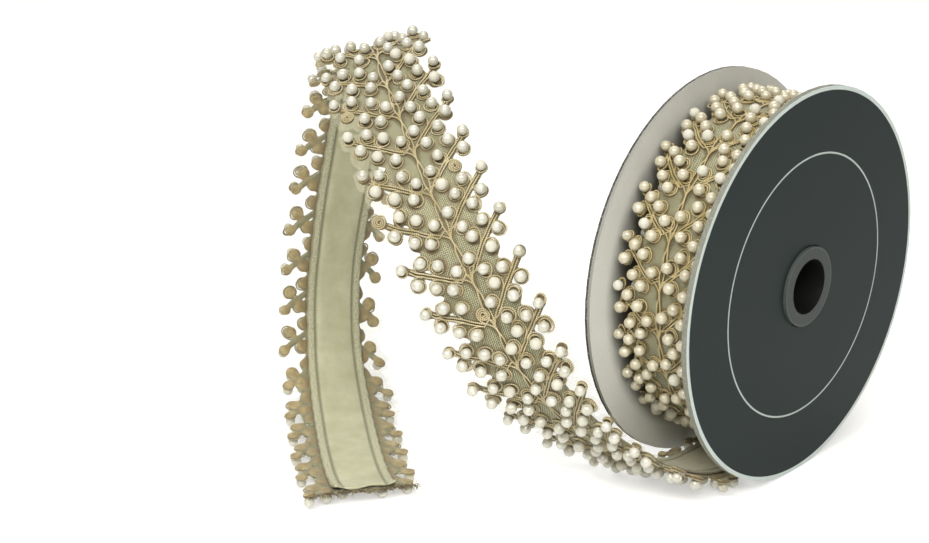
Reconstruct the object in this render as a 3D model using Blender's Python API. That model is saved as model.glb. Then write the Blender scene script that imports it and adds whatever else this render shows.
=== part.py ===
"""Beaded trim wound on a card reel, with its loose end arched beside it.

Sizes are in millimetres and are turned into metres where points are made. The reel's
axis lies along Y, its front flange stands on the origin, and the trim runs off the
bottom of the roll towards -X, pearls outward.
"""

import math
from collections import namedtuple

import bmesh
import bpy
from mathutils import Quaternion, Vector

MM = 0.001

# Reel
FLANGE_D = 127.0
FLANGE_T = 1.8
FLANGE_SPAN = 37.8          # outer face to outer face
HUB_D = 25.8
HUB_BORE_D = 17.8
HUB_PROUD = 1.0             # how far the hub stands out of each flange
ROUND_SEGMENTS = 64
GAP = 0.3                   # between neighbouring pieces

# Trim
REPEAT = 15.0               # one leaf of the pattern
FIRST_NODE = 1.0            # run from the roll's foot to the first leaf's node
FABRIC_T = 1.0
PEARL_D = 3.6
CREST = FABRIC_T / 2 + PEARL_D      # pearl tops over the fabric's middle
THIN = 0.8                          # cords and cloth between the pearls
SQUEEZED_REACH = 16.8               # half width of the trim between the flanges
OPEN_AFTER = 28.0                   # run after which the petals spread again
OPEN_RUN = 16.0
RIBBON_W = 20.0
RIBBON_T = 1.0
RIBBON_GAP = 0.45                   # to the fabric, where the trim twists
RIBBON_SHORT = 1.0                  # how far the ribbon stops before the cut end

# Roll: the fabric's radius in the outer turn, at its start and where it leaves
ROLL_INNER_TURN = 49.8
START_HEIGHT = 4.3                  # fabric's middle over the floor where it leaves
NOTCH_DEPTH = 2.2                   # dip between petals, below the fabric's middle

Section = namedtuple("Section", "run bend twist sway")
LOOSE_END = (
    Section(26.0, 2.0, 0.0, 0.0),       # straight between the flanges
    Section(24.0, 31.0, 16.0, -36.0),   # turns aside
    Section(30.0, 10.0, 14.0, 19.0),    # turns up
    Section(30.0, 20.0, 23.0, 9.0),
    Section(30.0, 26.0, 16.0, -7.0),    # rises
    Section(30.0, 15.0, 15.0, 3.0),
    Section(30.0, 14.0, 4.0, 2.0),      # leans back
    Section(22.0, 8.0, -9.0, 3.0),
    Section(10.0, 16.0, 16.0, -4.0),    # folds over
    Section(10.0, 56.0, -10.0, -14.0),
    Section(20.0, 20.0, 19.0, -9.0),
    Section(30.0, 5.0, -3.0, -3.0),     # comes down
    Section(30.0, 9.0, -9.0, 0.0),
    Section(30.0, 40.0, 5.0, -7.0),
    Section(30.0, 44.0, 17.0, -6.0),    # turns along the floor
    Section(30.0, 9.0, 1.0, 0.0),       # lies on it to its cut end
    Section(20.0, -3.0, 0.0, 3.0),
    Section(18.0, 12.0, -2.0, 5.0),
)
LOOSE_LENGTH = sum(section.run for section in LOOSE_END)

# Half the leaf's outline: where along the repeat, and how far out the petals reach
Reach = namedtuple("Reach", "along out")
PETAL_OUTLINE = (
    Reach(0.8, 17.8),
    Reach(2.0, 11.5),
    Reach(4.6, 14.5),
    Reach(7.2, 17.8),
    Reach(9.4, 16.4),
    Reach(11.2, 17.6),
    Reach(13.5, 19.4),
)
# Pearl centres of one side of a leaf, from its node
Pearl = namedtuple("Pearl", "along out")
PEARLS = (
    Pearl(-0.5, 5.2), Pearl(3.4, 10.3), Pearl(7.2, 15.0), Pearl(13.5, 17.0),
    Pearl(4.5, 2.6), Pearl(8.7, 6.6), Pearl(12.0, 11.2),
)
PEARL_FOOT = 3.0            # radius of the mound that a pearl and its cord make
ACROSS = (-1.0, -0.7, -0.35, 0.0, 0.35, 0.7, 1.0)   # columns, as shares of the reach

FLANGE_Y = (0.0, FLANGE_SPAN - FLANGE_T)            # middles of the two flanges
MIDDLE_Y = sum(FLANGE_Y) / 2
AXIS_Z = FLANGE_D / 2 * math.cos(math.pi / ROUND_SEGMENTS)
ROLL_OUTER_TURN = AXIS_Z - START_HEIGHT


def clear_scene():
    for item in list(bpy.data.objects):
        bpy.data.objects.remove(item, do_unlink=True)


def material(name, colour, roughness, metallic=0.0):
    made = bpy.data.materials.new(name)
    made.use_nodes = True
    shader = made.node_tree.nodes["Principled BSDF"]
    shader.inputs["Base Color"].default_value = (*colour, 1.0)
    shader.inputs["Roughness"].default_value = roughness
    shader.inputs["Metallic"].default_value = metallic
    return made


def solid(name, points, faces, look):
    """An object from points in millimetres and the faces between them, facing out."""
    mesh = bpy.data.meshes.new(name)
    mesh.from_pydata([Vector(point) * MM for point in points], [], faces)
    work = bmesh.new()
    work.from_mesh(mesh)
    bmesh.ops.recalc_face_normals(work, faces=work.faces)
    work.to_mesh(mesh)
    work.free()
    mesh.shade_smooth()
    mesh.set_sharp_from_angle(angle=math.radians(40.0))
    mesh.materials.append(look)
    made = bpy.data.objects.new(name, mesh)
    bpy.context.scene.collection.objects.link(made)
    return made


def loops_to_solid(name, loops, look, joined):
    """Closed loops of points, skinned one to the next; joined also skins last to first."""
    count = len(loops[0])
    points = [point for loop in loops for point in loop]
    faces = []
    pairs = list(zip(range(len(loops)), range(1, len(loops))))
    if joined:
        pairs.append((len(loops) - 1, 0))
    for first, second in pairs:
        for i in range(count):
            j = (i + 1) % count
            faces.append((first * count + i, first * count + j,
                          second * count + j, second * count + i))
    if not joined:
        faces.append(tuple(range(count)))
        faces.append(tuple((len(loops) - 1) * count + i for i in range(count)))
    return solid(name, points, faces, look)


def turned_ring(name, outer_d, inner_d, y_low, y_high, look):
    """A flat ring about the reel's axis, with one facet of its rim level at the bottom."""
    loops = []
    for i in range(ROUND_SEGMENTS):
        angle = 2 * math.pi * (i + 0.5) / ROUND_SEGMENTS
        across, up = math.sin(angle), -math.cos(angle)
        section = ((outer_d / 2, y_low), (outer_d / 2, y_high),
                   (inner_d / 2, y_high), (inner_d / 2, y_low))
        loops.append([(across * r, y, AXIS_Z + up * r) for r, y in section])
    return loops_to_solid(name, loops, look, joined=True)


def roll_radius(angle):
    """The fabric's radius in the outer turn, by the angle back from where it leaves."""
    share = (1 + math.cos(angle / 2)) / 2
    return ROLL_INNER_TURN + (ROLL_OUTER_TURN - ROLL_INNER_TURN) * share


def turn_run(angle):
    """The run of the fabric in the outer turn, back from where it leaves."""
    middle = (ROLL_OUTER_TURN + ROLL_INNER_TURN) / 2
    return middle * angle + (ROLL_OUTER_TURN - ROLL_INNER_TURN) * math.sin(angle / 2)


TURN_LENGTH = turn_run(2 * math.pi)


def turn_angle(run):
    angle = run / ROLL_INNER_TURN
    for _ in range(8):
        angle -= (turn_run(angle) - run) / roll_radius(angle)
    return angle


def loose_stations():
    """Position and frame at each millimetre of the loose end."""
    place = Vector((0.0, MIDDLE_Y, START_HEIGHT))
    along, out = Vector((-1.0, 0.0, 0.0)), Vector((0.0, -1.0, 0.0))
    stations = [(place.copy(), along.copy(), out.copy())]
    for section in LOOSE_END:
        steps = round(section.run)
        for _ in range(steps):
            up = along.cross(out)
            turn = math.radians(1 / steps) * (
                along * section.twist - out * section.bend + up * section.sway)
            spin = Quaternion(turn.normalized(), turn.length) if turn.length else Quaternion()
            half = Quaternion(turn.normalized(), turn.length / 2) if turn.length else Quaternion()
            place = place + half @ along
            along, out = spin @ along, spin @ out
            stations.append((place.copy(), along.copy(), out.copy()))
    return stations


STATIONS = loose_stations()


def trim_point(run, out_by, lift):
    """A point of the trim: run along it, out_by towards the front flange, lift to the back."""
    if run < 0:
        angle = turn_angle(-run)
        outward = Vector((math.sin(angle), 0.0, -math.cos(angle)))
        place = Vector((0.0, MIDDLE_Y, AXIS_Z)) + outward * roll_radius(angle)
        return place + Vector((0.0, -1.0, 0.0)) * out_by - outward * lift
    index = min(int(run), len(STATIONS) - 2)
    share = run - index
    before, after = STATIONS[index], STATIONS[index + 1]
    place, along, out = (a.lerp(b, share) for a, b in zip(before, after))
    out.normalize()
    up = along.cross(out).normalized()
    return place + out * out_by + up * lift


def squeezed(run, reach):
    """The petals' reach, held in by the flanges near the roll."""
    opened = min(max((run - OPEN_AFTER) / OPEN_RUN, 0.0), 1.0)
    limit = SQUEEZED_REACH + (PETAL_OUTLINE[-1].out - SQUEEZED_REACH) * opened
    return min(reach, limit)


def relief(run, out_by):
    """How far the pearl side stands over the fabric's middle."""
    phase = (run - FIRST_NODE) % REPEAT
    nearest = min(
        math.hypot(phase + shift - pearl.along, abs(out_by) - pearl.out)
        for pearl in PEARLS for shift in (-REPEAT, 0.0, REPEAT))
    mound = max(0.0, 1.0 - (nearest / PEARL_FOOT) ** 2)
    return THIN + (CREST - THIN) * mound


def rows_between(start, end):
    """Runs of the cross rows, with the petals' reach at each, and one row at each end."""
    rows = []
    count = int((end - start) / REPEAT) + 3
    first = math.floor((start - FIRST_NODE) / REPEAT)
    for leaf in range(first, first + count):
        for reach in PETAL_OUTLINE:
            run = FIRST_NODE + leaf * REPEAT + reach.along
            if start + 0.8 < run < end - 0.8:
                rows.append((run, reach.out))
    return [(start, rows[0][1])] + rows + [(end, rows[-1][1])]


def make_roll(look):
    loops = []
    bore = HUB_D / 2 + GAP
    for run, reach in rows_between(-TURN_LENGTH, -GAP):
        angle = turn_angle(-run)
        loop = []
        for share in ACROSS:
            out_by = share * SQUEEZED_REACH
            depth = -relief(run, out_by) if abs(out_by) <= reach else NOTCH_DEPTH
            loop.append(trim_point(run, out_by, depth))
        for y in (MIDDLE_Y - SQUEEZED_REACH, MIDDLE_Y + SQUEEZED_REACH):
            loop.append((math.sin(angle) * bore, y, AXIS_Z - math.cos(angle) * bore))
        loops.append(loop)
    return loops_to_solid("wound_roll", loops, look, joined=True)


def make_band(look):
    """The embroidered band of the loose end, with the pearls' relief on its outer side."""
    loops = []
    for run, reach in rows_between(GAP / 2, LOOSE_LENGTH):
        reach = squeezed(run, reach)
        back = [trim_point(run, share * reach, FABRIC_T / 2) for share in ACROSS]
        front = [trim_point(run, share * reach, -relief(run, share * reach))
                 for share in reversed(ACROSS)]
        loops.append([(p.x, p.y, max(p.z, 0.0)) for p in back + front])
    return loops_to_solid("loose_band", loops, look, joined=False)


def make_ribbon(look):
    loops = []
    low = FABRIC_T / 2 + RIBBON_GAP
    sides = (-1.0, -0.5, 0.0, 0.5, 1.0)
    corners = [(side, low) for side in sides]
    corners += [(side, low + RIBBON_T) for side in reversed(sides)]
    for run, _ in rows_between(GAP / 2, LOOSE_LENGTH - RIBBON_SHORT):
        loops.append([trim_point(run, side * RIBBON_W / 2, lift) for side, lift in corners])
    return loops_to_solid("backing_ribbon", loops, look, joined=False)


def main():
    clear_scene()
    face_card = material("face_card", (0.032, 0.040, 0.044), 0.55)
    grey_card = material("grey_card", (0.42, 0.39, 0.34), 0.8)
    hub_plastic = material("hub_plastic", (0.02, 0.022, 0.02), 0.4)
    pearl_trim = material("pearl_trim", (0.62, 0.58, 0.47), 0.4)
    cream_ribbon = material("cream_ribbon", (0.5, 0.48, 0.36), 0.7)

    for name, middle, look in (("front_flange", FLANGE_Y[0], face_card),
                               ("back_flange", FLANGE_Y[1], grey_card)):
        turned_ring(name, FLANGE_D, HUB_D + 2 * GAP,
                    middle - FLANGE_T / 2, middle + FLANGE_T / 2, look)
    turned_ring("hub_tube", HUB_D, HUB_BORE_D, FLANGE_Y[0] - FLANGE_T / 2 - HUB_PROUD,
                FLANGE_Y[1] + FLANGE_T / 2 + HUB_PROUD, hub_plastic)
    make_roll(pearl_trim)
    make_band(pearl_trim)
    make_ribbon(cream_ribbon)


main()
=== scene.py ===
"""Beaded trim on a card reel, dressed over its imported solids.

The trim's route repeats the table of sections of the part's source. Places on the trim
are given as run along it, out across it (positive towards the front flange) and lift off
its cloth's middle (positive towards the ribbon), in millimetres.
"""

import math
from collections import namedtuple

import bmesh
import bpy
import numpy as np
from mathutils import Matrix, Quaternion, Vector


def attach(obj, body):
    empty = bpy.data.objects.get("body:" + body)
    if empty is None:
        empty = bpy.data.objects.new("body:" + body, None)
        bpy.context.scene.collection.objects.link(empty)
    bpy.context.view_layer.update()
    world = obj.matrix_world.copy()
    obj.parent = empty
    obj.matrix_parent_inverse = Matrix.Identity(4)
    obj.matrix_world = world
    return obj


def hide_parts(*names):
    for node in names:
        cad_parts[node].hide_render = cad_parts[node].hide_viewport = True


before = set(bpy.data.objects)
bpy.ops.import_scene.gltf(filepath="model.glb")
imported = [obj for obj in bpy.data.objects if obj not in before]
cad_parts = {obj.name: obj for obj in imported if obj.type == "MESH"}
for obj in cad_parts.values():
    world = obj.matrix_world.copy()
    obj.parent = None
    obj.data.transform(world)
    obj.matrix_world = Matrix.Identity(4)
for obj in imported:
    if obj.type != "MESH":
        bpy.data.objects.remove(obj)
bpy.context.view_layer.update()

MM = 0.001
rng = np.random.default_rng(7)

# The reel and the roll, as in the part's source
FLANGE_D = 127.0
FLANGE_T = 1.8
FLANGE_SPAN = 37.8
HUB_D = 25.8
HUB_BORE_D = 17.8
ROUND_SEGMENTS = 64
MIDDLE_Y = (FLANGE_SPAN - FLANGE_T) / 2
AXIS_Z = FLANGE_D / 2 * math.cos(math.pi / ROUND_SEGMENTS)
ROLL_INNER_TURN = 49.8
START_HEIGHT = 4.3
ROLL_OUTER_TURN = AXIS_Z - START_HEIGHT
REPEAT = 15.0
FIRST_NODE = 1.0
PEARL_D = 3.6
OPEN_AFTER = 28.0
OPEN_RUN = 16.0
SQUEEZED_FROM = 8.0
SQUEEZE = 0.34              # share of the reach past it that is lost between the flanges
RIBBON_W = 20.0
RIBBON_SHORT = 1.0
CHANNEL = 7.0               # each sewn channel's distance from the ribbon's middle
VEIL_START = 30.0
VEIL_SHORT = 1.5
VEIL_REACH = 20.3
FLOOR_CLEARANCE = 0.15

Section = namedtuple("Section", "run bend twist sway")
LOOSE_END = (
    Section(26.0, 2.0, 0.0, 0.0),       # straight between the flanges
    Section(24.0, 31.0, 16.0, -36.0),   # turns aside
    Section(30.0, 10.0, 14.0, 19.0),    # turns up
    Section(30.0, 20.0, 23.0, 9.0),
    Section(30.0, 26.0, 16.0, -7.0),    # rises
    Section(30.0, 15.0, 15.0, 3.0),
    Section(30.0, 14.0, 4.0, 2.0),      # leans back
    Section(22.0, 8.0, -9.0, 3.0),
    Section(10.0, 16.0, 16.0, -4.0),    # folds over
    Section(10.0, 56.0, -10.0, -14.0),
    Section(20.0, 20.0, 19.0, -9.0),
    Section(30.0, 5.0, -3.0, -3.0),     # comes down
    Section(30.0, 9.0, -9.0, 0.0),
    Section(30.0, 40.0, 5.0, -7.0),
    Section(30.0, 44.0, 17.0, -6.0),    # turns along the floor
    Section(30.0, 9.0, 1.0, 0.0),       # lies on it to its cut end
    Section(20.0, -3.0, 0.0, 3.0),
    Section(18.0, 12.0, -2.0, 5.0),
)
LOOSE_LENGTH = sum(section.run for section in LOOSE_END)
LAST_LEAF = int((LOOSE_LENGTH - FIRST_NODE) / REPEAT) + 1

# Pearl centres of a leaf's two halves, from its node: lower row, tip, upper row
Spot = namedtuple("Spot", "along out")
FRONT_HALF = (
    Spot(0.0, 4.5), Spot(5.0, 9.9), Spot(8.8, 14.4), Spot(15.2, 16.6),
    Spot(5.7, 2.4), Spot(10.0, 6.3), Spot(13.6, 10.6),
)
BACK_HALF = (
    Spot(-1.3, 6.1), Spot(1.7, 10.7), Spot(5.6, 15.7), Spot(11.7, 17.6),
    Spot(3.4, 2.9), Spot(7.4, 6.9), Spot(10.2, 11.9),
)
# The midrib of each half, from the node out between its rows to the tip
FRONT_MIDRIB = (
    Spot(-3.0, 0.45), Spot(-0.9, 0.7), Spot(1.1, 1.9), Spot(2.9, 3.5), Spot(5.2, 5.9),
    Spot(7.5, 8.1), Spot(9.6, 10.5), Spot(11.3, 12.5), Spot(12.9, 14.5), Spot(13.8, 15.5),
)
BACK_MIDRIB = (
    Spot(-4.0, 0.45), Spot(-2.0, 0.7), Spot(-0.3, 2.2), Spot(1.0, 4.4), Spot(2.7, 6.8),
    Spot(4.6, 9.0), Spot(6.2, 11.3), Spot(7.8, 13.6), Spot(9.4, 15.4), Spot(10.2, 16.1),
)
# Places where a pearl has come off and its bare coil of cord shows: leaf, side, pearl
BARE = {(10, -1, 3), (13, -1, 2), (8, -1, 4)}


def loose_stations():
    """Position and frame at each millimetre of the loose end, as in the part's source."""
    place = Vector((0.0, MIDDLE_Y, START_HEIGHT))
    along, out = Vector((-1.0, 0.0, 0.0)), Vector((0.0, -1.0, 0.0))
    stations = [(*place, *along, *out)]
    for section in LOOSE_END:
        steps = round(section.run)
        for _ in range(steps):
            up = along.cross(out)
            turn = math.radians(1 / steps) * (
                along * section.twist - out * section.bend + up * section.sway)
            spin = Quaternion(turn.normalized(), turn.length) if turn.length else Quaternion()
            half = Quaternion(turn.normalized(), turn.length / 2) if turn.length else Quaternion()
            place = place + half @ along
            along, out = spin @ along, spin @ out
            stations.append((*place, *along, *out))
    return np.array(stations)


STATIONS = loose_stations()


def roll_radius(angle):
    """The cloth's radius by the angle back from where it leaves, through two turns."""
    drop = ROLL_OUTER_TURN - ROLL_INNER_TURN
    first = ROLL_INNER_TURN + drop * (1 + np.cos(angle / 2)) / 2
    second = ROLL_INNER_TURN - drop * (1 - np.cos((angle - 2 * np.pi) / 2)) / 2
    return np.where(angle < 2 * np.pi, first, second)


ANGLES = np.linspace(0.0, 4 * np.pi, 4001)
RADII = roll_radius(ANGLES)
RUNS_BACK = np.concatenate([[0.0], np.cumsum((RADII[1:] + RADII[:-1]) / 2 * np.diff(ANGLES))])
TURN_LENGTH = float(np.interp(2 * np.pi, ANGLES, RUNS_BACK))
TWO_TURNS = float(RUNS_BACK[-1])


def trim_points(run, out, lift):
    """Points in metres, one row each, of places on the trim."""
    run, out, lift = np.broadcast_arrays(*(np.asarray(x, float) for x in (run, out, lift)))
    run, out, lift = run.ravel(), out.ravel(), lift.ravel()
    held_in = 1 - np.clip((run - OPEN_AFTER) / OPEN_RUN, 0, 1)
    out = out - np.sign(out) * SQUEEZE * held_in * np.maximum(np.abs(out) - SQUEEZED_FROM, 0)
    angle = np.interp(-run, RUNS_BACK, ANGLES)
    radius = roll_radius(angle) - lift
    on_roll = np.stack([np.sin(angle) * radius, MIDDLE_Y - out, AXIS_Z - np.cos(angle) * radius], 1)
    index = np.clip(run.astype(int), 0, len(STATIONS) - 2)
    share = (run - index)[:, None]
    state = STATIONS[index] * (1 - share) + STATIONS[index + 1] * share
    place, along, across = state[:, :3], state[:, 3:6], state[:, 6:]
    across = across / np.linalg.norm(across, axis=1)[:, None]
    up = np.cross(along, across)
    up /= np.linalg.norm(up, axis=1)[:, None]
    loose = place + across * out[:, None] + up * lift[:, None]
    loose[:, 2] = np.maximum(loose[:, 2], FLOOR_CLEARANCE)
    return np.where((run < 0)[:, None], on_roll, loose) * MM


def add_object(name, data):
    made = bpy.data.objects.new(name, data)
    bpy.context.scene.collection.objects.link(made)
    return made


# Materials

def srgb(red, green, blue):
    """A linear colour from one read as 0 to 255."""
    return tuple(
        c / 12.92 if c <= 0.04045 else ((c + 0.055) / 1.055) ** 2.4
        for c in (red / 255, green / 255, blue / 255)) + (1.0,)


class Look:
    """A material and short ways to add nodes to it."""

    def __init__(self, name, roughness=0.5, **sockets):
        self.material = bpy.data.materials.new(name)
        self.material.use_nodes = True
        self.tree = self.material.node_tree
        self.shader = self.tree.nodes["Principled BSDF"]
        self.shader.inputs["Roughness"].default_value = roughness
        for socket, value in sockets.items():
            self.shader.inputs[socket.replace("_", " ")].default_value = value

    def node(self, kind, inputs=None, **settings):
        made = self.tree.nodes.new("ShaderNode" + kind)
        for setting, value in settings.items():
            setattr(made, setting, value)
        for key, value in (inputs or {}).items():
            if isinstance(value, bpy.types.NodeSocket):
                self.tree.links.new(value, made.inputs[key])
            else:
                made.inputs[key].default_value = value
        return made

    def math(self, operation, first, second=0.0, third=0.0):
        made = self.node("Math", {0: first, 1: second, 2: third}, operation=operation)
        return made.outputs[0]

    def times(self, value, factor):
        return self.math("MULTIPLY", value, factor)

    def mix(self, share, first, second):
        made = self.node("Mix", {0: share, 6: first, 7: second}, data_type="RGBA")
        return made.outputs[2]

    def ramp(self, value, low, high):
        """0 below low, 1 above high, straight between."""
        return self.node("MapRange", {0: value, 1: low, 2: high}).outputs[0]

    def fall(self, value, low, high):
        """1 below low, 0 above high, straight between."""
        return self.math("SUBTRACT", 1.0, self.ramp(value, low, high))

    def noise(self, scale, detail, vector, roughness=0.5):
        inputs = {"Scale": scale, "Detail": detail, "Roughness": roughness, "Vector": vector}
        return self.node("TexNoise", inputs).outputs[0]

    def stripes(self, value, period):
        """A wave from 0 to 1 along value, in its units."""
        turned = self.math("SINE", self.times(value, 2 * math.pi / period))
        return self.math("MULTIPLY_ADD", turned, 0.5, 0.5)

    def uv(self):
        """Run and out in millimetres, and the pair as a vector. The map is in decimetres."""
        made = self.node("UVMap")
        scaled = self.node("VectorMath", {0: made.outputs[0], 1: (100.0, 100.0, 100.0)},
                           operation="MULTIPLY").outputs[0]
        parts = self.node("SeparateXYZ", {0: scaled})
        return parts.outputs[0], parts.outputs[1], scaled

    def place(self):
        """Where a point is on the part, in metres."""
        return self.node("TexCoord").outputs["Object"]

    def attribute(self, name):
        return self.node("Attribute", attribute_name=name).outputs["Fac"]

    def colour(self, value):
        self.tree.links.new(value, self.shader.inputs["Base Color"])

    def set(self, socket, value):
        self.tree.links.new(value, self.shader.inputs[socket])

    def bump(self, height, distance, strength):
        made = self.node("Bump", {"Height": height, "Distance": distance, "Strength": strength})
        self.tree.links.new(made.outputs[0], self.shader.inputs["Normal"])


def pearl_look(name, dark, light, roughness, coat):
    """Nacre, or chalk without its coat. Each bead has its own tint from dark to light."""
    look = Look(name, Coat_Weight=coat, Coat_Roughness=0.25, Coat_IOR=1.9,
                Specular_IOR_Level=0.5)
    where = look.place()
    cloud = look.noise(420.0, 3.0, where)
    tint = look.mix(look.attribute("tint"), dark, light)
    look.colour(look.mix(look.ramp(cloud, 0.35, 0.7), tint, light))
    look.set("Roughness", look.math("MULTIPLY_ADD", cloud, 0.12, roughness - 0.06))
    look.bump(cloud, 0.00003, 0.25)
    return look.material


WAY_ROUND = 100.0           # V once round a cord


def cord_look(name, dark, light):
    """Twisted thread, darker on the side that lies on the cloth.

    U is the length along the cord and V the way round it. The darkening towards the side that lies
    on the cloth, and up its flanks, is painted shade.
    """
    look = Look(name, Sheen_Weight=0.35, Sheen_Roughness=0.4, Specular_IOR_Level=0.45)
    length, around, _ = look.uv()
    slanted = look.math("ADD", length, look.times(around, 0.006))
    twist = look.stripes(slanted, 0.66)
    where = look.place()
    patch = look.noise(180.0, 2.0, where)
    base = look.mix(look.ramp(patch, 0.35, 0.65), dark, light)
    shade = look.mix(look.times(twist, 0.6), base, srgb(116, 98, 58))
    # painted shade: the cord darkens towards the side that lies on the cloth and up its flanks
    height = look.math("SINE", look.times(around, 2 * math.pi / WAY_ROUND))
    low = look.ramp(height, 0.55, -0.2)
    look.colour(look.mix(look.times(low, 0.7), shade, srgb(78, 64, 36)))
    look.set("Roughness", look.math("MULTIPLY_ADD", twist, 0.2, 0.38))
    look.bump(twist, 0.00009, 0.7)
    return look.material


def cloth_look():
    """Gold and silver woven cloth between the petals, and thread filling on the petals.

    Its number near is 1 on the petals, cord_shade is 1 under and beside the stems and midribs,
    where it darkens the front as painted shade, and back is 1 on the side of the ribbon.
    """
    look = Look("corded_cloth", Sheen_Weight=0.2, Sheen_Roughness=0.5)
    run, out, both = look.uv()
    stray = look.times(look.noise(0.8, 1.0, both, 0.6), 0.6)
    warp = look.stripes(look.math("ADD", look.math("ADD", run, out), stray), 0.7)
    weft = look.stripes(look.math("ADD", look.math("SUBTRACT", run, out), stray), 0.8)
    weave = look.times(warp, weft)
    patch = look.ramp(look.noise(0.45, 2.0, both), 0.35, 0.65)
    ground = look.mix(patch, srgb(126, 121, 78), srgb(156, 150, 108))
    woven = look.mix(look.ramp(weave, 0.3, 0.6), ground, srgb(206, 208, 182))
    woven = look.mix(look.fall(weave, 0.0, 0.14), woven, srgb(82, 77, 44))
    threads = look.stripes(look.math("MULTIPLY_ADD", out, 0.35, run), 0.55)
    tan = look.mix(patch, srgb(168, 148, 102), srgb(200, 182, 134))
    # painted shade: the tan darkens next to the ribbon's edge, where the ribbon shades it
    clear_of_ribbon_shade = look.ramp(look.math("ABSOLUTE", out), RIBBON_W / 2 - 0.1, RIBBON_W / 2 + 2.8)
    tan = look.mix(clear_of_ribbon_shade, srgb(138, 121, 84), tan)
    # the thread filling's front is darker brown than its back: partly its own colour, partly
    # painted shade between the cord rings
    petal_fill_and_shade = look.mix(look.attribute("back"), srgb(116, 100, 64), tan)
    filled = look.mix(look.times(threads, 0.5), petal_fill_and_shade, srgb(86, 72, 42))
    near = look.attribute("near")
    top = look.mix(near, woven, filled)
    # painted shade under and beside the stems and midribs, on the front only
    on_front = look.math("MULTIPLY_ADD", look.attribute("back"), -0.8, 0.8)
    cord_shade_on_front = look.times(look.attribute("cord_shade"), on_front)
    look.colour(look.mix(cord_shade_on_front, top, srgb(92, 76, 42)))
    look.set("Metallic", look.times(look.math("SUBTRACT", 1.0, near), 0.35))
    look.set("Roughness", look.math("MULTIPLY_ADD", weave, 0.25, 0.35))
    height = look.node("Mix", {0: near, 2: weave, 3: threads}, data_type="FLOAT").outputs[0]
    look.bump(height, 0.00012, 0.7)
    return look.material


def ribbon_look():
    """Cream weave with a grainy hem outside each channel, with painted shade in its channel grooves
    and along its edges, and a painted shadow near the roll.
    """
    look = Look("cream_ribbon_weave", Sheen_Weight=0.25, Sheen_Roughness=0.5)
    run, out, both = look.uv()
    across = look.math("ABSOLUTE", out)
    from_channel = look.math("ABSOLUTE", look.math("SUBTRACT", across, CHANNEL))
    groove_shade = look.fall(from_channel, 0.25, 0.8)
    hem = look.ramp(across, CHANNEL, CHANNEL + 0.6)
    rim = look.ramp(across, RIBBON_W / 2 - 0.7, RIBBON_W / 2 - 0.1)
    patch = look.ramp(look.noise(0.12, 4.0, both, 0.6), 0.3, 0.7)
    fibre = look.noise(3.2, 3.0, both, 0.7)
    grain = look.ramp(look.noise(1.7, 2.0, both, 0.8), 0.36, 0.56)
    body = look.mix(patch, srgb(180, 177, 141), srgb(206, 204, 173))
    body = look.mix(look.times(fibre, 0.4), body, srgb(166, 163, 128))
    edging = look.mix(grain, srgb(138, 135, 102), srgb(200, 198, 166))
    body = look.mix(look.times(hem, 0.9), body, edging)
    # painted shade in the channel's groove and along the ribbon's edges beside the petals
    body = look.mix(look.times(groove_shade, 0.75), body, srgb(118, 116, 90))
    body = look.mix(look.times(rim, 0.7), body, srgb(108, 98, 68))
    # painted shadow: darker where the ribbon leaves the reel, under it
    reel_shadow = look.fall(run, 20.0, 34.0)
    look.colour(look.mix(look.times(reel_shadow, 0.6), body, srgb(104, 94, 66)))
    weave = look.times(look.stripes(run, 0.42), look.stripes(out, 0.36))
    look.set("Roughness", look.math("MULTIPLY_ADD", fibre, 0.2, 0.5))
    look.bump(look.math("ADD", weave, look.times(fibre, 0.8)), 0.00006, 0.6)
    return look.material


def veil_look():
    """Sheer cloth, clear between its threads."""
    look = Look("sheer_veil", roughness=0.6)
    run, out, both = look.uv()
    weave = look.times(look.stripes(run, 0.5), look.stripes(out, 0.5))
    look.colour(look.mix(weave, srgb(208, 202, 170), srgb(234, 229, 202)))
    look.set("Alpha", look.math("MULTIPLY_ADD", weave, 0.14, 0.2))
    return look.material


def windings_look():
    """The edges of the inner turns, the trim's colours painted dark as the shade between the
    flanges.
    """
    look = Look("inner_turns", roughness=0.8)
    where = look.place()
    patch = look.noise(350.0, 4.0, where, 0.7)
    look.colour(look.mix(look.ramp(patch, 0.35, 0.7), srgb(64, 54, 34), srgb(128, 112, 76)))
    look.bump(patch, 0.0005, 0.8)
    return look.material


def reel_radius(look):
    """Distance from the reel's axis and depth along it, in metres."""
    parts = look.node("SeparateXYZ", {0: look.place()})
    across = parts.outputs[0]
    height = look.math("SUBTRACT", parts.outputs[2], AXIS_Z * MM)
    squares = look.math("ADD", look.times(across, across), look.times(height, height))
    return look.math("SQRT", squares), parts.outputs[1]


def facing(look, direction):
    """1 where the true surface normal points along direction."""
    normal = look.node("NewGeometry").outputs["True Normal"]
    dot = look.node("VectorMath", {0: normal, 1: direction}, operation="DOT_PRODUCT")
    return look.ramp(dot.outputs["Value"], 0.6, 0.8)


# Radii of the rings on the flanges, in metres
RIM_RING_R = 62.1 * MM
FACE_LINE_R = 42.5 * MM


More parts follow.
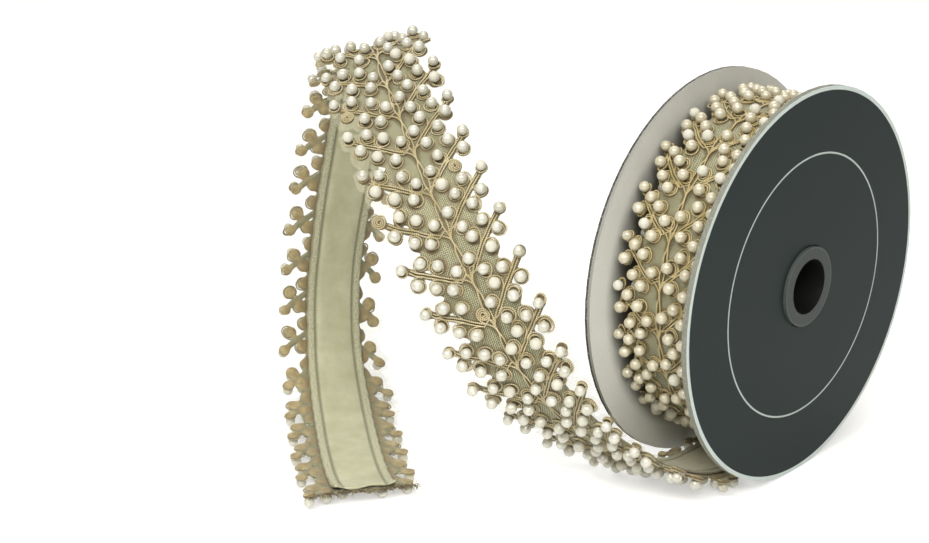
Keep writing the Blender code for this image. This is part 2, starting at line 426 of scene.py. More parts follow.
def flange_look(name, outside, edge):
    """Slate face with a pale ring at its rim, bare card inwards and a cut edge of card.

    outside is the way along Y that the face looks, -1 or 1.
    """
    face, printed, bare = srgb(33, 43, 42), srgb(206, 216, 210), srgb(216, 216, 207)
    look = Look(name, Specular_IOR_Level=0.14)
    radius, depth = reel_radius(look)
    where = look.place()
    fine = look.noise(1500.0, 4.0, where, 0.7)
    cloud = look.noise(40.0, 3.0, where)
    ring = look.ramp(radius, RIM_RING_R, RIM_RING_R + 0.1 * MM)
    from_line = look.math("ABSOLUTE", look.math("SUBTRACT", radius, FACE_LINE_R))
    line = look.fall(from_line, 0.22 * MM, 0.34 * MM)
    print_colour = look.mix(look.times(fine, 0.2), face, srgb(44, 50, 52))
    rings = look.math("MAXIMUM", ring, look.times(line, 0.8))
    print_colour = look.mix(rings, print_colour, printed)
    card = look.mix(look.ramp(cloud, 0.3, 0.7), bare, srgb(211, 211, 203))
    card = look.mix(look.times(look.ramp(fine, 0.5, 0.75), 0.12), card, srgb(132, 126, 116))
    in_shade = (46.5 * MM, 56.0 * MM)
    card = look.mix(look.ramp(radius, *in_shade), srgb(104, 101, 88), card)
    cut = look.mix(look.ramp(fine, 0.5, 0.72), edge, srgb(160, 160, 148))
    if outside > 0:
        middle = (FLANGE_SPAN - FLANGE_T) * MM
        cut = look.mix(look.ramp(depth, middle, middle + 0.2 * MM), srgb(150, 149, 143), cut)
    outward = facing(look, (0.0, outside, 0.0))
    inward = facing(look, (0.0, -outside, 0.0))
    colour = look.mix(inward, cut, card)
    look.colour(look.mix(outward, colour, print_colour))
    look.set("Roughness", look.math("SUBTRACT", 0.85, look.times(outward, 0.4)))
    look.bump(look.math("ADD", fine, look.times(cloud, 0.5)), 0.00004, 0.35)
    return look.material


def hub_look():
    """Dark moulding, rubbed paler at its rim, with painted shade in black in its bore."""
    look = Look("hub_moulding", Specular_IOR_Level=0.4)
    radius, _ = reel_radius(look)
    where = look.place()
    fine = look.noise(700.0, 3.0, where, 0.6)
    bore = HUB_BORE_D / 2
    rim = HUB_D / 2
    inside = look.fall(radius, (bore + 0.05) * MM, (bore + 0.2) * MM)
    rubbed = look.ramp(radius, (rim - 0.7) * MM, rim * MM)
    base = look.mix(look.times(fine, 0.5), srgb(44, 50, 48), srgb(66, 72, 68))
    base = look.mix(look.times(rubbed, 0.4), base, srgb(104, 110, 104))
    # painted shade: black inside the bore
    look.colour(look.mix(inside, base, srgb(22, 22, 20)))
    look.set("Roughness", look.math("MULTIPLY_ADD", fine, 0.2, 0.36))
    look.bump(fine, 0.00005, 0.4)
    return look.material


# Meshes

def piece(name, points, faces, look, uv=None, values=None, smooth=True):
    """A mesh object on the one body.

    values holds named numbers, one for each point, and uv is in millimetres.
    """
    mesh = bpy.data.meshes.new(name)
    mesh.from_pydata(np.asarray(points, float), [], faces)
    if uv is not None:
        corner = np.empty(len(mesh.loops), np.int32)
        mesh.loops.foreach_get("vertex_index", corner)
        layer = mesh.uv_layers.new(name="UVMap")
        layer.uv.foreach_set("vector", (np.asarray(uv) * 0.01)[corner].astype(np.float32).ravel())
    for key, numbers in (values or {}).items():
        field = mesh.attributes.new(key, "FLOAT", "POINT")
        field.data.foreach_set("value", np.asarray(numbers, np.float32))
    if smooth:
        mesh.shade_smooth()
    mesh.materials.append(look)
    made = add_object(name, mesh)
    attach(made, "root")
    return made


# A pearl on the trim: which of its half leaf's, on side 1 or -1, and a random number
Placed = namedtuple("Placed", "leaf side which run out chance")
TIP = 3                     # which pearl stands at a half leaf's tip
TIP_PEARL = 0.93            # its size, as a share of the others'
CHALK_SHARE = 0.13
LOST_SHARE = 0.008
PEARL_SEAT = -0.5           # lift of the pearls' seats on the cloth's front


def place_pearls():
    """Every pearl of the trim, in both turns of the roll and along the loose end."""
    found = []
    first = int(math.floor((-TWO_TURNS - FIRST_NODE) / REPEAT)) + 1
    for leaf in range(first, LAST_LEAF + 1):
        node = FIRST_NODE + leaf * REPEAT
        for side, half in ((1, FRONT_HALF), (-1, BACK_HALF)):
            for which, pearl in enumerate(half):
                shift = rng.normal(0.0, 0.28, 2)
                run = node + pearl.along + shift[0]
                out = side * (pearl.out + shift[1])
                if run < LOOSE_LENGTH - 0.8:
                    found.append(Placed(leaf, side, which, run, out, rng.random()))
    return found


ALL_PEARLS = place_pearls()
INNER = [p for p in ALL_PEARLS if p.run < -TURN_LENGTH and abs(p.out) > 9.0]
SHOWN = [p for p in ALL_PEARLS if p.run >= -TURN_LENGTH]


def is_bare(pearl):
    return (pearl.leaf, pearl.side, pearl.which) in BARE or pearl.chance > 1 - LOST_SHARE


def is_chalk(pearl):
    return pearl.chance < CHALK_SHARE


def ball():
    """Points and triangles of a round of radius 1."""
    work = bmesh.new()
    bmesh.ops.create_icosphere(work, subdivisions=3, radius=1.0)
    work.verts.ensure_lookup_table()
    points = np.array([list(v.co) for v in work.verts])
    faces = np.array([[v.index for v in f.verts] for f in work.faces])
    work.free()
    return points, faces


BALL = ball()


def beads(name, pearls, look):
    """One round for each pearl, lying on the cloth or on the floor."""
    points, faces = BALL
    size = PEARL_D / 2 * MM * (1 + rng.normal(0.0, 0.025, len(pearls)))
    size *= np.where([p.which == TIP for p in pearls], TIP_PEARL, 1.0)
    run = np.array([p.run for p in pearls])
    out = np.array([p.out for p in pearls])
    middles = trim_points(run, out,
                          PEARL_SEAT - PEARL_D / 2 + rng.normal(0.0, 0.08, len(pearls)))
    middles[:, 2] = np.maximum(middles[:, 2], size + 0.1 * MM)
    all_points = middles[:, None] + points[None] * size[:, None, None]
    steps = np.arange(len(pearls))[:, None, None] * len(points)
    tint = np.repeat(rng.random(len(pearls)), len(points))
    return piece(name, all_points.reshape(-1, 3), (faces[None] + steps).reshape(-1, 3), look,
                 values={"tint": tint})


def tubes(name, paths, radius, look, sides=5):
    """Cords along paths of run, out and lift. Their ends are drawn in and capped."""
    points, faces, uv = [], [], []
    start = 0
    around = np.arange(sides) / sides * 2 * np.pi
    for path in paths:
        path = np.asarray(path, float)
        line = trim_points(path[:, 0], path[:, 1], path[:, 2])
        above = trim_points(path[:, 0], path[:, 1], path[:, 2] - 0.5)
        along = np.gradient(line, axis=0)
        along /= np.linalg.norm(along, axis=1)[:, None] + 1e-12
        normal = above - line
        across = np.cross(along, normal)
        across /= np.linalg.norm(across, axis=1)[:, None] + 1e-12
        normal = np.cross(across, along)
        wide = np.full(len(path), radius * MM)
        wide[[0, -1]] *= 0.45
        ring = (across[:, None] * np.cos(around)[None, :, None]
                + normal[:, None] * np.sin(around)[None, :, None]) * wide[:, None, None]
        points.append((line[:, None] + ring).reshape(-1, 3))
        length = np.concatenate([[0], np.cumsum(np.linalg.norm(np.diff(line, axis=0), axis=1))])
        uv.append(np.stack([np.repeat(length * 1000, sides),
                            np.tile(np.arange(sides) / sides * WAY_ROUND, len(path))], 1))
        count = len(path)
        i = np.arange(count - 1)[:, None] * sides + start
        j, k = np.arange(sides), (np.arange(sides) + 1) % sides
        quads = np.stack([i + j, i + k, i + sides + k, i + sides + j], 2).reshape(-1, 4)
        faces += quads.tolist()
        faces.append(list(range(start + sides - 1, start - 1, -1)))
        faces.append(list(range(start + (count - 1) * sides, start + count * sides)))
        start += count * sides
    return piece(name, np.concatenate(points), faces, look, uv=np.concatenate(uv))


# Cords

def smooth_path(points, count):
    """count points on a smooth curve through the given ones."""
    points = np.asarray(points, float)
    knots = np.concatenate([points[:1] * 2 - points[1:2], points, points[-1:] * 2 - points[-2:-1]])
    places = np.linspace(0, len(points) - 1 - 1e-6, count)
    index = places.astype(int)
    t = (places - index)[:, None]
    a, b, c, d = (knots[index + i] for i in range(4))
    return 0.5 * ((2 * b) + (c - a) * t + (2 * a - 5 * b + 4 * c - d) * t ** 2
                  + (3 * b - a - 3 * c + d) * t ** 3)


CORD_R = 0.27
CORD_LIFT = -0.62
MIDRIB_POINTS = 20


def midrib_path(leaf, side):
    node = FIRST_NODE + leaf * REPEAT
    table = FRONT_MIDRIB if side > 0 else BACK_MIDRIB
    return smooth_path([(node + p.along, side * p.out) for p in table], MIDRIB_POINTS)


def offset(line, by):
    """A path moved aside by a distance."""
    along = np.gradient(line, axis=0)
    along /= np.linalg.norm(along, axis=1)[:, None]
    aside = np.stack([-along[:, 1], along[:, 0]], 1)
    return line + aside * by


def with_lift(line, lift):
    """A path of run and out with its lift, one for all its points or one for each."""
    return np.column_stack([line, np.broadcast_to(lift, len(line))])


def stem_paths(first, last):
    """The twin cords: each closes in a loop at one node and opens into the next's midribs."""
    paths = []
    for leaf in range(first, last + 1):
        node = FIRST_NODE + leaf * REPEAT
        wobble = rng.normal(0.0, 0.12, 4)
        for side in (1, -1):
            rib = midrib_path(leaf, side)
            rib = rib + rng.normal(0.0, 0.05, rib.shape)
            low = [(node - 14.4 + wobble[0], 0.0), (node - 13.9, side * 0.55),
                   (node - 12.0, side * 0.85 + wobble[1]), (node - 9.0, side * 0.72 + wobble[2]),
                   (node - 6.0, side * 0.55 + wobble[3] * 0.5)]
            under = offset(rib, -side * 0.45)
            whole = smooth_path(low, 9)
            paths.append(with_lift(np.concatenate([whole, under]), CORD_LIFT))
            over = offset(rib[3:], side * 0.45)
            inner = smooth_path([(node - 2.2, side * 0.12), (node + 0.1, side * 0.25),
                                 (node + 1.1, side * 0.8), (node + 0.9, side * 1.5),
                                 tuple(over[2])], 9)
            paths.append(with_lift(np.concatenate([inner, over[3:]]), CORD_LIFT - 0.08))
    return paths


def cut_line(out):
    """The run at which the scissors crossed the trim, a little ragged."""
    return (LOOSE_LENGTH - 1.3 + 0.55 * np.sin(out * 0.31 + 0.8) + 0.25 * np.sin(out * 1.3)
            + 0.14 * np.sin(out * 4.1))


def clip_paths(paths):
    """The parts of paths on this side of the cut end, without those too short to show."""
    clipped = (path[path[:, 0] < cut_line(path[:, 1]) - 0.1] for path in paths)
    return [path for path in clipped if len(path) > 2]


# How a cord winds round a pearl: how often, its outer radius and its step inwards a turn
Winding = namedtuple("Winding", "turns outer step")
TURN_POINTS = 15
BARE_COIL_POINTS = 48
BARE_TURNS, BARE_OUTER, BARE_INNER = 3.1, 2.25, 0.35
TAIL_START = 0.7            # from the midrib's middle to where a ring's tail leaves it
TURN_IN = 0.9               # angle from the tail's line to where the ring starts


def pick_winding(pearl):
    if is_bare(pearl):
        return Winding(BARE_TURNS, BARE_OUTER, (BARE_OUTER - BARE_INNER) / BARE_TURNS)
    if pearl.which == TIP:
        return Winding(rng.uniform(1.0, 1.5), rng.uniform(1.65, 1.95), 0.3)
    return Winding(rng.uniform(1.3, 2.2), rng.uniform(2.3, 2.7), 0.7)


def ring_path(pearl):
    """The cord round a pearl: a tail from the midrib, except at the tip, and the ring."""
    rib = midrib_path(pearl.leaf, pearl.side)
    centre = np.array([pearl.run, pearl.out]) + rng.normal(0.0, 0.36, 2)
    nearest = int(np.linalg.norm(rib - centre, axis=1).argmin())
    start = rib[max(nearest - 1, 0)]
    toward = centre - start
    start = start + toward / np.linalg.norm(toward) * TAIL_START
    winding = pick_winding(pearl)
    count = BARE_COIL_POINTS if is_bare(pearl) else int(TURN_POINTS * winding.turns)
    inward, onward = centre - start, rib[nearest] - start
    way = 1.0 if onward[0] * inward[1] > onward[1] * inward[0] else -1.0
    first = math.atan2(-inward[1], -inward[0]) + way * TURN_IN
    turned = first + way * np.linspace(0, 2 * np.pi * winding.turns, count)
    radius = np.linspace(winding.outer, winding.outer - winding.step * winding.turns, count)
    radius *= 1 + (0.06 * np.sin(2 * turned + pearl.chance * 40)
                   + 0.03 * np.sin(3 * turned + pearl.chance * 90))
    path = centre + np.stack([np.cos(turned), np.sin(turned)], 1) * radius[:, None]
    lift = CORD_LIFT - np.linspace(0.0, 0.12, count)
    if pearl.which != TIP:
        middle = (start + path[0]) / 2 + (path[0] - centre) * 0.12
        tail = smooth_path([start, middle, path[0]], 5)[:-1]
        path = np.concatenate([tail, path])
        lift = np.append(np.full(len(tail), CORD_LIFT), lift)
    return with_lift(path, lift)


# Cloth cut along a line where a field of the flat trim crosses nought

CUT_REACH = 21.0            # half the width of the sheet that cloth is cut from


def cut_cloth(start, end, step, field):
    """Points and faces of the flat region where field(run, out) is above nought."""
    runs = np.arange(start, end + step * 0.5, step)
    outs = np.arange(-CUT_REACH, CUT_REACH + step * 0.5, step)
    grid_run, grid_out = np.meshgrid(runs, outs, indexing="ij")
    height = field(grid_run, grid_out)
    inside = height > 0
    wide = len(outs)
    numbers, places, faces = {}, [], []

    def number(key, place):
        if key not in numbers:
            numbers[key] = len(places)
            places.append(place)
        return numbers[key]

    cells = inside[:-1, :-1] | inside[1:, :-1] | inside[:-1, 1:] | inside[1:, 1:]
    for i, j in zip(*np.nonzero(cells)):
        corners = ((i, j), (i + 1, j), (i + 1, j + 1), (i, j + 1))
        ring = []
        for a, b in zip(corners, corners[1:] + corners[:1]):
            if inside[a]:
                ring.append(number(a[0] * wide + a[1], (runs[a[0]], outs[a[1]])))
            if inside[a] != inside[b]:
                low, high = min(a, b), max(a, b)
                share = height[low] / (height[low] - height[high])
                place = (runs[low[0]] + (runs[high[0]] - runs[low[0]]) * share,
                         outs[low[1]] + (outs[high[1]] - outs[low[1]]) * share)
                ring.append(number((low, high), place))
        if len(ring) > 2:
            faces.append(ring)
    return np.array(places), faces


TIP_SMALLER = 0.3           # how much less cloth there is round a pearl at a tip
SEARCH_RUN = 24.0
CHUNK = 1500
FAR = 99.0


def near_pearls(pearls, run, out, merge=0.0):
    """The distance from each place to its nearest pearl, with more for those at the tips.

    With merge, in millimetres, neighbouring pearls draw the distance in between them.
    """
    centres = np.array([(p.run, p.out) for p in pearls])
    smaller = np.array([TIP_SMALLER if p.which == TIP else 0.0 for p in pearls])
    flat_run, flat_out = run.ravel(), out.ravel()
    found = np.full(len(flat_run), FAR)
    order = np.argsort(flat_run, kind="stable")
    for chunk in np.array_split(order, max(1, len(order) // CHUNK)):
        low, high = flat_run[chunk].min() - SEARCH_RUN, flat_run[chunk].max() + SEARCH_RUN
        within = (centres[:, 0] > low) & (centres[:, 0] < high)
        some = centres[within]
        if len(some):
            gap = smaller[within] + np.hypot(flat_run[chunk][:, None] - some[None, :, 0],
                                             flat_out[chunk][:, None] - some[None, :, 1])
            nearest = gap.min(1)
            if merge:
                nearest -= merge * np.log(np.exp((nearest[:, None] - gap) / merge).sum(1))
            found[chunk] = nearest
    return found.reshape(run.shape)


def slab(name, places, faces, front, back, look, values):
    """A closed sheet from a flat cut, between two lifts."""
    count = len(places)
    points = np.concatenate([trim_points(places[:, 0], places[:, 1], front),
                             trim_points(places[:, 0], places[:, 1], back)])
    edges = {}      # those of one face alone, in the order that they were met
    for ring in faces:
        for a, b in zip(ring, ring[1:] + ring[:1]):
            if (b, a) in edges:
                del edges[(b, a)]
            else:
                edges[(a, b)] = True
    turned = [ring[::-1] for ring in faces]
    under = [[count + i for i in ring] for ring in faces]
    walls = [[a, b, count + b, count + a] for a, b in edges]
    uv = np.concatenate([places, places])
    both = {key: np.concatenate([v, v]) for key, v in values.items()}
    both["back"] = np.concatenate([np.zeros(count), np.ones(count)])
    return piece(name, points, turned + under + walls, look, uv=uv, values=both)


def flat_area(places, faces):
    """The area of a flat cut in square metres."""
    total = 0.0
    for ring in faces:
        x, y = places[ring].T
        total += abs(np.dot(x, np.roll(y, -1)) - np.dot(y, np.roll(x, -1))) / 2
    return total * MM * MM


def midrib_places(first, last):
    """Places along the midribs of some leaves, in the form that near_pearls takes."""
    lines = [midrib_path(leaf, side) for leaf in range(first, last + 1) for side in (1, -1)]
    return [Placed(0, 0, 0, *point, 0) for line in lines for point in line]


# The cloth: how far it reaches round a pearl and a midrib, and from the middle line
ROUND_PEARL = 2.15
ROUND_MIDRIB = 1.1
MIDDLE_REACH = 9.7
# Up to here the gaps between a leaf's pearls are filled, and further near the cut end
FILLED_TO = 11.3
FILLED_MORE = 4.0
FILLED_MORE_FROM = 362
PEARLS_BESIDE = 20          # how far past a stretch's ends its pearls are gathered
# Lifts of its two sides, and how far the back swells away from its edges
CLOTH_FRONT = -0.3
CLOTH_BACK = 0.22
BACK_SWELL = 0.3


def make_cloth(name, start, end, step, look):
    """The embroidered cloth of a stretch of trim, thin at its edges, and its flat area."""
    near = [p for p in ALL_PEARLS if start - PEARLS_BESIDE < p.run < end + PEARLS_BESIDE]
    first, last = int((start - FIRST_NODE) // REPEAT), int((end - FIRST_NODE) // REPEAT) + 1
    ribs = midrib_places(first, last)

    def field(run, out):
        petals = ROUND_PEARL - near_pearls(near, run, out, merge=0.7)
        filled_to = FILLED_TO + FILLED_MORE * np.clip((run - FILLED_MORE_FROM) / 12, 0, 1)
        petals += 0.95 * np.clip((filled_to - np.abs(out)) / 1.6, 0, 1)
        rib = ROUND_MIDRIB - near_pearls(ribs, run, out)
        ragged = 0.35 * np.sin(run * 1.9) * np.sin(run * 0.7)
        middle = MIDDLE_REACH + ragged - np.abs(out)
        shape = np.maximum(np.maximum(petals, rib), middle)
        end_here = cut_line(out) if end == LOOSE_LENGTH else end
        return np.minimum(shape, np.minimum(run - start, end_here - run) + 0.001)

    places, faces = cut_cloth(start, end, step, field)
    gap = near_pearls(near, places[:, 0], places[:, 1])
    beside = np.minimum(near_pearls(ribs, places[:, 0], places[:, 1]) - 0.25,
                        np.abs(places[:, 1]))
    # painted shade round the stems and midribs, for the cloth's look
    cord_shade = np.clip((0.95 - beside) / 0.4, 0, 1)
    inward = np.clip(field(places[:, 0], places[:, 1]) / 0.9, 0, 1)
    soft = np.clip((3.1 - gap) / 0.8, 0, 1)
    under_ribbon = np.abs(places[:, 1]) <= RIBBON_W / 2 - 0.5
    back = CLOTH_BACK + BACK_SWELL * np.sqrt(inward) * np.where(under_ribbon, 0.3, 1.0)
    made = slab(name, places, faces, CLOTH_FRONT, back, look, {"near": soft, "cord_shade": cord_shade})
    return made, flat_area(places, faces)


OUTER_PEARLS = (1, 2, 3, 6)


def make_veil(name, start, end, look):
    """The sheer cloth between the petals, in one layer, and its flat area."""
    near = [p for p in SHOWN if start - PEARLS_BESIDE < p.run < end + PEARLS_BESIDE
            and p.which in OUTER_PEARLS]

    def field(run, out):
        wave = 0.5 * np.sin(run * 0.83) + 0.35 * np.sin(run * 2.1 + out)
        petals = 4.1 + wave - near_pearls(near, run, out)
        shape = np.maximum(petals, 12.5 - np.abs(out))
        ends = np.minimum(run - start, end - run) + 0.001
        return np.minimum(np.minimum(shape, ends), VEIL_REACH - np.abs(out))

    places, faces = cut_cloth(start, end, 1.0, field)
    lift = 0.12 * np.sin(places[:, 0] * 0.9) * np.clip(np.abs(places[:, 1]) - 12, 0, 6) / 6
    points = trim_points(places[:, 0], places[:, 1], lift)
    made = piece(name, points, [ring[::-1] for ring in faces], look, uv=places)
    return made, flat_area(places, faces)


# Columns of the ribbon's mesh on one side, close together at its channel
RIBBON_COLUMNS = (2.2, 4.5, 6.3, 6.75, CHANNEL, 7.25, 7.6, 8.4, 9.2, 9.75, RIBBON_W / 2)
# Lifts of its two sides
RIBBON_FRONT = 0.75
RIBBON_BACK = 1.25


def make_ribbon(name, start, end, step, look):
    """The ribbon, with its two stitched channels and the pucker that they draw in."""
    runs = np.append(np.arange(start, end, step), end)
    across = [-v for v in reversed(RIBBON_COLUMNS)] + [0.0] + list(RIBBON_COLUMNS)
    grid_run, grid_out = np.meshgrid(runs, across, indexing="ij")
    gap = np.abs(np.abs(grid_out) - CHANNEL)
    edge = np.clip((RIBBON_W / 2 - np.abs(grid_out)) / 0.5, 0, 1)
    side = np.sign(grid_out)
    pucker = np.sin(grid_run * 2.35 + side * 1.3 + np.sin(grid_run * 0.37) * 2)
    swell = np.sin(grid_run * 0.21 + grid_out * 0.25) * np.sin(grid_run * 0.073 + 1.0)
    top = (RIBBON_BACK + 0.22 * np.sqrt(edge) - 0.30 * np.exp(-(gap / 0.33) ** 2)
           + 0.07 * pucker * np.exp(-(gap / 1.3) ** 2)
           + 0.14 * swell * np.clip((CHANNEL - np.abs(grid_out)) / 4, 0, 1))
    waver = grid_out + side * 0.12 * np.sin(grid_run * 0.9 + side) * (np.abs(grid_out) > 9)
    last = np.clip((grid_run - end + 5) / 5, 0, 1)
    grid_run = grid_run - last * (0.5 + 0.45 * np.sin(grid_out * 0.45 + 0.6))
    curl = last ** 2 * (np.clip((np.abs(grid_out) - 4) / 6, 0, 1) ** 2 * 1.3
                        + 0.25 * np.sin(grid_out * 0.6))
    upper = trim_points(grid_run, waver, top + curl)
    lower = trim_points(grid_run, waver, RIBBON_FRONT + curl)
    rows, columns = grid_run.shape
    count = rows * columns
    grid = np.arange(count).reshape(rows, columns)
    quads = np.stack([grid[:-1, :-1], grid[:-1, 1:], grid[1:, 1:], grid[1:, :-1]], 2).reshape(-1, 4)
    faces = quads.tolist() + (quads[:, ::-1] + count).tolist()
    rim = np.concatenate([grid[0], grid[1:, -1], grid[-1, -2::-1], grid[-2:0:-1, 0]])
    faces += [[b, a, a + count, b + count] for a, b in zip(rim.tolist(), np.roll(rim, -1).tolist())]
    flat = np.stack([grid_run.ravel(), grid_out.ravel()], 1)
    return piece(name, np.concatenate([upper, lower]), faces, look,
                 uv=np.concatenate([flat, flat]))


def make_stitches(look):
    """Running stitches in the ribbon's channels."""
    low, high = 0.98, 1.2
    paths = []
    for side in (1, -1):
        run = 30.0
        while run < LOOSE_LENGTH - 4:
            length = rng.uniform(1.3, 1.7)
            out = side * CHANNEL + rng.normal(0, 0.05)
            paths.append([(run, out, low), (run + length * 0.3, out, high),
                          (run + length * 0.7, out, high), (run + length, out, low)])
            run += length + rng.uniform(0.6, 0.9)
    return tubes("ribbon_stitches", paths, 0.13, look, sides=4)


def make_cut_threads(name, count, look):
    """The ends of the cords and of the cloth's own threads, where the trim is cut off."""
    paths = []
    for _ in range(count):
        out = rng.uniform(-17.5, 17.5)
        first = cut_line(out)
        ahead = min(rng.uniform(0.2, 1.5), LOOSE_LENGTH - 0.05 - first)
        lean, rise = rng.normal(0, 0.8), rng.normal(-0.3, 0.5)
        low = rng.uniform(-0.5, 0.6)
        paths.append(np.array([(first - 0.9, out, low * 0.5), (first - 0.1, out + lean * 0.15, low),
                               (first + ahead * 0.5, out + lean * 0.5, low + rise * 0.4),
                               (first + ahead, out + lean * 1.3, low + rise * 1.2)]))
    return tubes(name, paths, 0.12, look, sides=4)


def make_frays(look):
    """Loose thread ends at the petals' edges."""
    from_pearl = 2.3
    paths = []
    for pearl in SHOWN:
        if pearl.which not in (2, TIP) or pearl.run < 45 or rng.random() > 0.15:
            continue
        for _ in range(3):
            way = rng.uniform(-1.3, 1.3)
            length = rng.uniform(0.5, 1.3)
            start = np.array([pearl.run + from_pearl * math.sin(way),
                              pearl.out + pearl.side * from_pearl * math.cos(way)])
            tip = start + length * np.array([math.sin(way + rng.normal(0, 0.5)),
                                             pearl.side * math.cos(way + rng.normal(0, 0.5))])
            tip[1] = np.clip(tip[1], -20.2, 20.2)
            middle = (start + tip) / 2 + rng.normal(0, 0.25, 2)
            paths.append(np.array([(*start, 0.0), (*middle, rng.normal(0, 0.3)),
                                   (*tip, rng.normal(0, 0.5))]))
    return tubes("frayed_threads", clip_paths(paths), 0.06, look, sides=3)


def make_windings(look):
    """The turns below the two that show, as a stack of edges between the flanges."""
    angles = np.radians(np.arange(2.0, 359.0, 4.0))
    halves = []         # a section's front half at each angle: out and radius
    for angle in angles:
        top = float(roll_radius(angle + 2 * np.pi)) - 2.0
        half = [(10.5, top)]
        down = top - 0.6
        wide_edge = True
        while down > HUB_D / 2 + 3:
            half.append((16.2 if wide_edge else 12.0, down))
            down -= 2.2 if wide_edge else 3.2
            wide_edge = not wide_edge
        halves.append(half)
    shortest = min(len(half) for half in halves)
    points = []
    for angle, half in zip(angles, halves):
        front = half[:shortest]
        front.append((front[-1][0], HUB_D / 2 + 0.4))
        whole = front + [(-v, r) for v, r in reversed(front)]
        points += [(math.sin(angle) * r * MM, (MIDDLE_Y - v) * MM,
                    (AXIS_Z - math.cos(angle) * r) * MM) for v, r in whole]
    wide = 2 * (shortest + 1)
    faces = []
    for i in range(len(angles)):
        j = (i + 1) % len(angles)
        for a in range(wide):
            b = (a + 1) % wide
            faces.append([i * wide + a, i * wide + b, j * wide + b, j * wide + a])
    return piece("inner_windings", points, faces, look, smooth=False)


# Camera, floor and light

LENS = 72.97
CAMERA_PLACE = (-0.4819, -0.2946, 0.2658)
CAMERA_TILT = 70.38
CAMERA_TURN = -47.7
FLOOR_HALF = 4.0

# Strengths of the floor's own glow and of the world: as they light, and as they show
FLOOR_GLOW = 0.24
FLOOR_GLOW_SHOWN = 0.46
WORLD_LIGHT = 0.2
WORLD_LIGHT_SHOWN = 0.63


def make_camera():
    scene = bpy.context.scene
    data = bpy.data.cameras.new("camera")
    data.sensor_fit = "HORIZONTAL"
    data.sensor_width = 36.0
    data.lens = LENS
    data.clip_start = 0.01
    camera = add_object("camera", data)
    camera.location = CAMERA_PLACE
    camera.rotation_euler = (math.radians(CAMERA_TILT), 0.0, math.radians(CAMERA_TURN))
    scene.camera = camera
    scene.view_settings.view_transform = "Standard"
    scene.view_settings.look = "None"


def make_floor():
    """A sheet of white paper, which the camera sees a little brighter than it lights."""
    mesh = bpy.data.meshes.new("floor")
    corners = [(-FLOOR_HALF, -FLOOR_HALF, 0), (FLOOR_HALF, -FLOOR_HALF, 0),
               (FLOOR_HALF, FLOOR_HALF, 0), (-FLOOR_HALF, FLOOR_HALF, 0)]
    mesh.from_pydata(corners, [], [(0, 1, 2, 3)])
    look = Look("floor_paper", roughness=0.9, Specular_IOR_Level=0.2,
                Emission_Color=(1.0, 1.0, 1.0, 1.0))
    where = look.place()
    look.colour(look.mix(look.noise(3.0, 2.0, where), srgb(222, 222, 220), srgb(226, 226, 224)))
    seen = look.node("LightPath").outputs["Is Camera Ray"]
    look.set("Emission Strength", look.math("MULTIPLY_ADD", seen, FLOOR_GLOW_SHOWN - FLOOR_GLOW,
                                            FLOOR_GLOW))
    mesh.materials.append(look.material)
    add_object("floor", mesh)


def make_world():
    """Soft light from all round, paler where the camera sees it past the floor."""
    world = bpy.data.worlds.new("studio")
    world.use_nodes = True
    nodes, links = world.node_tree.nodes, world.node_tree.links
    background = nodes["Background"]
    background.inputs["Color"].default_value = (1.0, 0.995, 0.97, 1.0)
    path = nodes.new("ShaderNodeLightPath")
    strength = nodes.new("ShaderNodeMath")
    strength.operation = "MULTIPLY_ADD"
    strength.inputs[1].default_value = WORLD_LIGHT_SHOWN - WORLD_LIGHT
    strength.inputs[2].default_value = WORLD_LIGHT
    links.new(path.outputs["Is Camera Ray"], strength.inputs[0])
    links.new(strength.outputs[0], background.inputs["Strength"])
    bpy.context.scene.world = world


def area_light(name, place, target, size, power, colour=(1.0, 1.0, 1.0)):
    data = bpy.data.lights.new(name, "AREA")
    data.shape = "RECTANGLE"
    data.size, data.size_y = size
    data.energy = power
    data.color = colour
    made = add_object(name, data)
    made.location = place
    made.rotation_euler = (Vector(target) - Vector(place)).to_track_quat("-Z", "Y").to_euler()
    return data


def make_lights():
    """Soft light from above and both sides, and a small one low on the lower strip."""
    middle = (-0.04, 0.05, 0.05)
    lower_strip = (-0.088, 0.036, 0.03)
    warm = (1.0, 0.99, 0.965)
    area_light("top_back", (0.25, 0.5, 1.3), middle, (1.0, 1.0), 9.0, warm)
    area_light("top_left", (-0.9, 0.1, 1.0), middle, (0.6, 0.6), 4.0)
    area_light("front_strip", (-0.68, -0.44, 0.9), middle, (1.2, 0.3), 11.8, warm)
    low = area_light("front_low", (-0.36, -0.24, 0.3), lower_strip, (0.08, 0.08), 0.009)
    low.spread = math.radians(24)


def dress_reel():
    """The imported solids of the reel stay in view, each with its look."""
    looks = {
        "front_flange": flange_look("front_card", -1.0, srgb(128, 129, 117)),
        # the back flange's cut edge is the same card as the front's, painted darker as painted
        # shade
        "back_flange": flange_look("back_card", 1.0, srgb(66, 64, 56)),
        "hub_tube": hub_look(),
    }
    for name, look in looks.items():
        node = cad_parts[name]
        if not node.material_slots:
            node.data.materials.append(look)
        for slot in node.material_slots:
            slot.material = look


CLOTH_START = 0.3
ROLL_END = -0.1             # where the roll's cloth meets the loose end's
INNER_CLOTH_RUN = 262       # how much of the next turn has its cloth


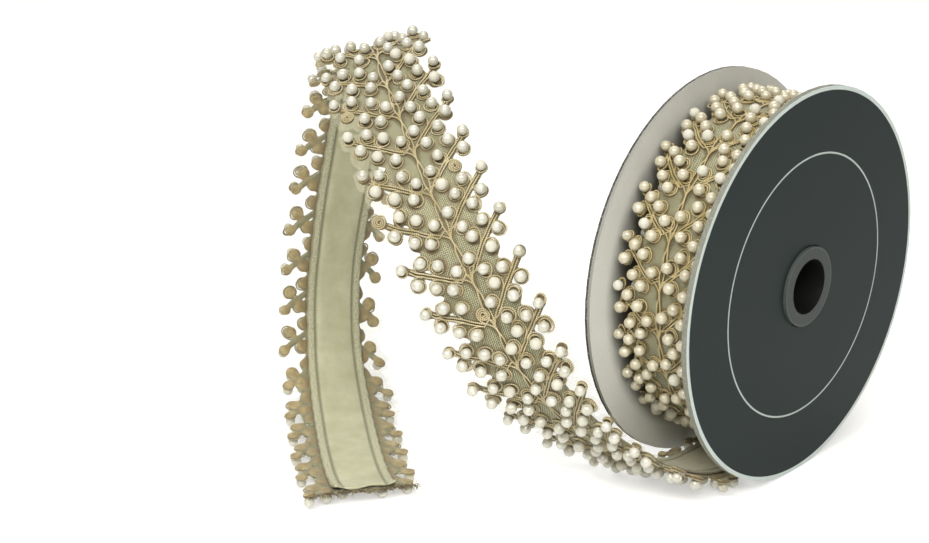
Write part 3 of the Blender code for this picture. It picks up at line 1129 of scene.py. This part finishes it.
def main():
    make_camera()
    make_floor()
    make_world()
    make_lights()
    dress_reel()

    pearl = pearl_look("pearl_nacre", srgb(184, 179, 157), srgb(208, 205, 189), 0.3, 1.0)
    # darker, warmer copies of the nacre and the cord for the trim wound on the reel, as painted
    # shade between the flanges
    shaded_roll_pearl = pearl_look("pearl_nacre_roll_shaded", srgb(180, 169, 138), srgb(204, 196, 170), 0.3, 1.0)
    chalk = pearl_look("chalk_bead", srgb(200, 196, 176), srgb(212, 209, 193), 0.6, 0.0)
    cord = cord_look("gold_cord", srgb(194, 178, 130), srgb(222, 209, 168))
    shaded_roll_cord = cord_look("gold_cord_roll_shaded", srgb(188, 168, 110), srgb(216, 199, 146))
    dark_thread = cord_look("dark_thread", srgb(72, 58, 34), srgb(136, 116, 70))
    cloth = cloth_look()
    ribbon_weave = ribbon_look()

    loose_cloth, loose_area = make_cloth("loose_cloth", CLOTH_START, LOOSE_LENGTH, 0.75, cloth)
    roll_cloth, _ = make_cloth("roll_cloth", CLOTH_START - TURN_LENGTH, ROLL_END, 0.8, cloth)
    make_cloth("inner_cloth", -TURN_LENGTH - INNER_CLOTH_RUN, -TURN_LENGTH, 1.3, cloth)
    ribbon = make_ribbon("loose_ribbon", CLOTH_START, LOOSE_LENGTH - RIBBON_SHORT, 1.0,
                         ribbon_weave)
    make_ribbon("roll_ribbon", -TURN_LENGTH + 0.5, ROLL_END, 4.0, ribbon_weave)
    make_stitches(cord)
    veil, veil_area = make_veil("sheer_veil", VEIL_START, LOOSE_LENGTH - VEIL_SHORT, veil_look())
    make_windings(windings_look())

    loose = [p for p in SHOWN if p.run >= 0]
    rolled = [p for p in SHOWN if p.run < 0]
    for name, group, nacre, thread in (("loose", loose, pearl, cord),
                                       ("roll", rolled, shaded_roll_pearl, shaded_roll_cord)):
        beads(name + "_pearls", [p for p in group if not is_bare(p) and not is_chalk(p)], nacre)
        rings = clip_paths([ring_path(p) for p in group])
        tubes(name + "_rings", rings, CORD_R, thread)
    beads("chalk_beads", [p for p in SHOWN if is_chalk(p) and not is_bare(p)], chalk)
    beads("inner_pearls", INNER, pearl)
    tubes("loose_stems", clip_paths(stem_paths(1, LAST_LEAF)), CORD_R, cord)
    first_leaf = -int(TURN_LENGTH / REPEAT)
    tubes("roll_stems", clip_paths(stem_paths(first_leaf, 0)), CORD_R, shaded_roll_cord)
    make_frays(cord)
    make_cut_threads("cut_threads_gold", 150, cord)
    make_cut_threads("cut_threads_dark", 170, dark_thread)

    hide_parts("loose_band")
    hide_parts("backing_ribbon")
    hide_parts("wound_roll")


main()
